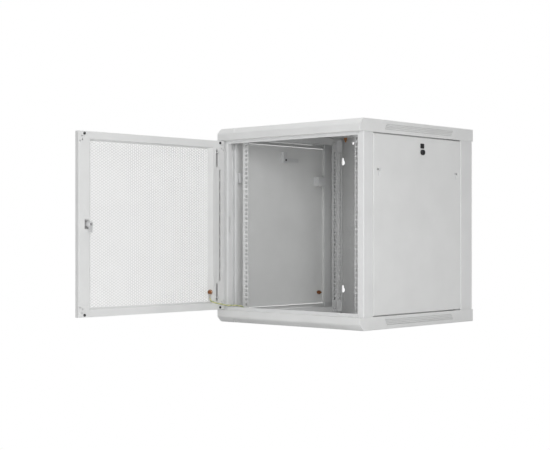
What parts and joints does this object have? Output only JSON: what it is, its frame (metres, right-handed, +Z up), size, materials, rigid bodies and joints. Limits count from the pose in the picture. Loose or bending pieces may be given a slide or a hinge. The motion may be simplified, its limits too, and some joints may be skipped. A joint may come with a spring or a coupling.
{
  "type": "network rack cabinet",
  "caption": "Light grey wall-mounting network cabinet with a perforated door standing open, removable side panels, vented top and bottom covers and square-hole rack rails.",
  "frame": {"origin": "centre of the underside of the bottom cover", "axes": "+X right seen from the front, front at -Y, +Z up; rest pose has the door open 92 degrees"},
  "size_m": [0.6245, 1.1729, 0.635],
  "materials": {
    "light_grey_paint": "fine textured powder coat",
    "grey_frame_paint": "satin powder coat",
    "rail_paint": "satin powder coat",
    "zinc_steel": "zinc plated",
    "chrome_lock": "polished",
    "black_plastic": "fine grain",
    "grey_plastic": "satin",
    "black_rubber": "matt",
    "copper": "copper plated",
    "tinned_copper": "tinned",
    "green_yellow_insulation": "satin, green and yellow bands"
  },
  "bodies": {
    "cabinet": {"base_earth_lug": "tinned_copper", "bottom_cable_entry_plate": "grey_frame_paint", "bottom_cover": "light_grey_paint", "cabinet_earth_studs": "copper", "cover_bolts": "zinc_steel", "earth_lead": "green_yellow_insulation", "front_left_post": "grey_frame_paint", "front_left_rack_rail": "rail_paint", "front_right_post": "grey_frame_paint", "front_right_rack_rail": "rail_paint", "lower_front_crossmember": "grey_frame_paint", "lower_left_carrier": "grey_frame_paint", "lower_rear_crossmember": "grey_frame_paint", "lower_right_carrier": "grey_frame_paint", "plate_screws": "zinc_steel", "rack_rail_bolts": "zinc_steel", "rack_rail_nuts": "zinc_steel", "rear_left_post": "grey_frame_paint", "rear_left_rack_rail": "rail_paint", "rear_panel": "light_grey_paint", "rear_panel_screws": "zinc_steel", "rear_right_post": "grey_frame_paint", "rear_right_rack_rail": "rail_paint", "top_cable_entry_plate": "grey_frame_paint", "top_cover": "light_grey_paint", "top_fan_plate": "grey_frame_paint", "upper_front_crossmember": "grey_frame_paint", "upper_left_carrier": "grey_frame_paint", "upper_rear_crossmember": "grey_frame_paint", "upper_right_carrier": "grey_frame_paint"},
    "door": {"door_frame": "light_grey_paint", "door_perforated_sheet": "light_grey_paint", "door_lock_housing": "chrome_lock", "door_lock_nut": "zinc_steel", "upper_hinge_spring": "zinc_steel", "lower_hinge_spring": "zinc_steel", "hinge_pin_brackets": "zinc_steel", "door_corner_bumpers": "black_rubber", "door_earth_stud": "copper", "door_earth_lug": "tinned_copper"},
    "door_lock": {"door_lock_barrel": "chrome_lock", "door_lock_cam": "zinc_steel"},
    "upper_hinge_pin": {"upper_hinge_pin": "zinc_steel"},
    "lower_hinge_pin": {"lower_hinge_pin": "zinc_steel"},
    "left_side_panel": {"left_side_panel": "light_grey_paint", "left_panel_lock_housing": "black_plastic", "left_panel_latch_housings": "grey_plastic", "left_panel_earth_stud": "copper"},
    "left_panel_lock": {"left_panel_lock_barrel": "black_plastic", "left_panel_lock_cam": "zinc_steel"},
    "left_front_latch": {"left_front_panel_latch": "grey_plastic"},
    "left_rear_latch": {"left_rear_panel_latch": "grey_plastic"},
    "right_side_panel": {"right_side_panel": "light_grey_paint", "right_panel_lock_housing": "black_plastic", "right_panel_latch_housings": "grey_plastic", "right_panel_earth_stud": "copper"},
    "right_panel_lock": {"right_panel_lock_barrel": "black_plastic", "right_panel_lock_cam": "zinc_steel"},
    "right_front_latch": {"right_front_panel_latch": "grey_plastic"},
    "right_rear_latch": {"right_rear_panel_latch": "grey_plastic"}
  },
  "joints": [
    {"name": "door_hinge", "type": "hinge", "parent": "cabinet", "child": "door", "pos_m": [-0.289, -0.29, 0.3175], "axis": [0, 0, 1], "range_deg": [-83, 92], "deforming": ["earth_lead"]},
    {"name": "door_lock_turn", "type": "hinge", "parent": "door", "child": "door_lock", "pos_m": [-0.30809, -0.83667, 0.3175], "axis": [-0.9994, 0.0349, 0], "range_deg": [0, 90]},
    {"name": "upper_pin_slide", "type": "slide", "parent": "door", "child": "upper_hinge_pin", "axis": [0, 0, -1], "range_m": [0, 0.012], "deforming": ["upper_hinge_spring"]},
    {"name": "lower_pin_slide", "type": "slide", "parent": "door", "child": "lower_hinge_pin", "axis": [0, 0, 1], "range_m": [0, 0.012], "deforming": ["lower_hinge_spring"]},
    {"name": "left_panel_lift_off", "type": "slide", "parent": "cabinet", "child": "left_side_panel", "axis": [-1, 0, 0], "range_m": [0, 0.08]},
    {"name": "left_panel_lock_turn", "type": "hinge", "parent": "left_side_panel", "child": "left_panel_lock", "pos_m": [-0.281, 0.016, 0.5455], "axis": [1, 0, 0], "range_deg": [0, 90]},
    {"name": "left_front_latch_slide", "type": "slide", "parent": "left_side_panel", "child": "left_front_latch", "axis": [0, -1, 0], "range_m": [0, 0.008]},
    {"name": "left_rear_latch_slide", "type": "slide", "parent": "left_side_panel", "child": "left_rear_latch", "axis": [0, 1, 0], "range_m": [0, 0.008]},
    {"name": "right_panel_lift_off", "type": "slide", "parent": "cabinet", "child": "right_side_panel", "axis": [1, 0, 0], "range_m": [0, 0.08]},
    {"name": "right_panel_lock_turn", "type": "hinge", "parent": "right_side_panel", "child": "right_panel_lock", "pos_m": [0.281, 0.016, 0.5455], "axis": [1, 0, 0], "range_deg": [0, 90]},
    {"name": "right_front_latch_slide", "type": "slide", "parent": "right_side_panel", "child": "right_front_latch", "axis": [0, -1, 0], "range_m": [0, 0.008]},
    {"name": "right_rear_latch_slide", "type": "slide", "parent": "right_side_panel", "child": "right_rear_latch", "axis": [0, 1, 0], "range_m": [0, 0.008]}
  ]
}
